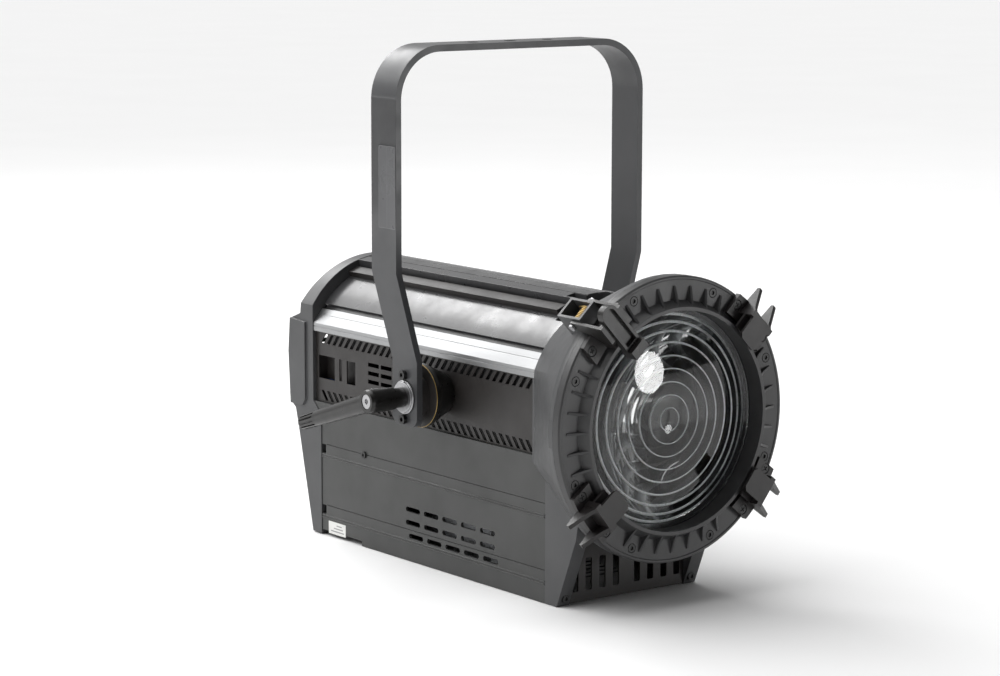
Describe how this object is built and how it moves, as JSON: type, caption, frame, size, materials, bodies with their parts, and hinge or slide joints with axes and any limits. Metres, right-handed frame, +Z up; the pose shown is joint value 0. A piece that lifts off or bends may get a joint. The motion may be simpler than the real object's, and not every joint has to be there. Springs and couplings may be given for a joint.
{
  "type": "LED Fresnel spotlight",
  "caption": "Stage spotlight: an LED head with a round Fresnel lens, a motor-driven zoom carriage inside, a tilting yoke with a clamp lever and a sprung latch for colour frames.",
  "frame": {"origin": "on the floor, on the base of the lower side panels, straight under the tilt axis", "axes": "+Z up, -Y towards the lens, +X to the right when seen from the front"},
  "size_m": [0.313, 0.536, 0.4992],
  "materials": {
    "body_paint": "satin",
    "panel_paint": "satin",
    "vent_paint": "matte",
    "rail": "satin anodised",
    "roof_paint": "satin",
    "yoke_paint": "satin",
    "ring_paint": "satin",
    "bracket_black": "matte",
    "black_plastic": "satin",
    "black_steel": "satin",
    "rubber": "matte",
    "lens_glass": "clear",
    "screen_glass": "gloss",
    "steel": "brushed",
    "chrome": "polished",
    "brass": "satin",
    "sheet_zinc": "zinc plated",
    "black_alu": "black anodised",
    "friction": "matte with a brass rim",
    "alu": "plain",
    "circuit": "matte",
    "blue_plastic": "satin",
    "grey_plastic": "satin",
    "emitter": "gloss"
  },
  "bodies": {
    "head": {"front_casting": "body_paint", "lens_ring": "ring_paint", "fresnel_lens": "lens_glass", "lens_gasket": "rubber", "ring_screws": "black_steel", "bracket_upper_right": "bracket_black", "bracket_lower_right": "bracket_black", "bracket_lower_left": "bracket_black", "latch_seat": "bracket_black", "bracket_screws": "black_steel", "latch_pin": "steel", "latch_spring": "brass", "front_grille": "vent_paint", "rear_casting": "body_paint", "rear_panel": "panel_paint", "display_window": "screen_glass", "power_inlet": "blue_plastic", "power_outlet": "grey_plastic", "data_inlet": "steel", "data_outlet": "steel", "side_rails": "rail", "top_rails": "vent_paint", "top_spine": "roof_paint", "top_panel_left": "roof_paint", "top_panel_right": "roof_paint", "vent_panel_left": "vent_paint", "vent_panel_right": "vent_paint", "lower_panel_left": "panel_paint", "lower_panel_right": "panel_paint", "base_plate": "panel_paint", "rubber_feet": "rubber", "case_screws": "black_steel", "mid_deck": "sheet_zinc", "rod_supports": "sheet_zinc", "guide_rods": "chrome", "stepper_motor": "black_steel", "power_supply": "sheet_zinc", "control_board": "circuit", "pivot_bosses": "black_plastic", "pivot_studs": "steel", "pivot_nut": "steel"},
    "yoke": {"yoke_bar": "yoke_paint", "friction_discs": "friction", "pivot_washers": "steel", "yoke_screws": "black_steel"},
    "insert": {"lever_insert": "steel"},
    "lever": {"clamp_lever": "black_plastic"},
    "latch": {"gel_latch": "black_plastic"},
    "carriage": {"carriage_plate": "black_alu", "carriage_bushes": "brass", "lead_nut": "brass", "led_module": "emitter", "heat_sink": "alu", "fan_frame": "black_plastic"},
    "fan": {"fan_rotor": "black_plastic"},
    "zoom_screw": {"lead_screw": "steel"},
    "key_menu": {"button_menu": "black_plastic"},
    "key_down": {"button_down": "black_plastic"},
    "key_up": {"button_up": "black_plastic"},
    "key_enter": {"button_enter": "black_plastic"}
  },
  "joints": [
    {"name": "yoke_tilt", "type": "hinge", "parent": "head", "child": "yoke", "pos_m": [0, 0, 0.172], "axis": [1, 0, 0], "range_deg": [-120, 120]},
    {"name": "clamp_turn", "type": "hinge", "parent": "head", "child": "insert", "pos_m": [-0.145, 0, 0.172], "axis": [1, 0, 0], "range_deg": [-180, 180]},
    {"name": "lever_lift", "type": "slide", "parent": "insert", "child": "lever", "axis": [-1, 0, 0], "range_m": [0, 0.004], "stiffness_N_per_m": 400, "springref_m": -0.004},
    {"name": "latch_swing", "type": "hinge", "parent": "head", "child": "latch", "pos_m": [-0.09548, -0.23, 0.27439], "axis": [-0.7314, 0, -0.682], "range_deg": [0, 70], "stiffness_Nm_per_rad": 0.12, "springref_deg": -34.38},
    {"name": "zoom_slide", "type": "slide", "parent": "head", "child": "carriage", "axis": [0, 1, 0], "range_m": [-0.06, 0.06]},
    {"name": "fan_spin", "type": "hinge", "parent": "carriage", "child": "fan", "pos_m": [0, 0, 0.172], "axis": [0, 1, 0], "continuous": true},
    {"name": "screw_turn", "type": "hinge", "parent": "head", "child": "zoom_screw", "pos_m": [0, 0, 0.073], "axis": [0, 1, 0], "range_deg": [-1080.5, 1080.5]},
    {"name": "press_menu", "type": "slide", "parent": "head", "child": "key_menu", "axis": [0, -1, 0], "range_m": [0, 0.0012], "stiffness_N_per_m": 300, "springref_m": -0.001},
    {"name": "press_down", "type": "slide", "parent": "head", "child": "key_down", "axis": [0, -1, 0], "range_m": [0, 0.0012], "stiffness_N_per_m": 300, "springref_m": -0.001},
    {"name": "press_up", "type": "slide", "parent": "head", "child": "key_up", "axis": [0, -1, 0], "range_m": [0, 0.0012], "stiffness_N_per_m": 300, "springref_m": -0.001},
    {"name": "press_enter", "type": "slide", "parent": "head", "child": "key_enter", "axis": [0, -1, 0], "range_m": [0, 0.0012], "stiffness_N_per_m": 300, "springref_m": -0.001}
  ],
  "couplings": [
    {"joint": "screw_turn", "follows": "zoom_slide", "rad_per_m": 314.16}
  ]
}
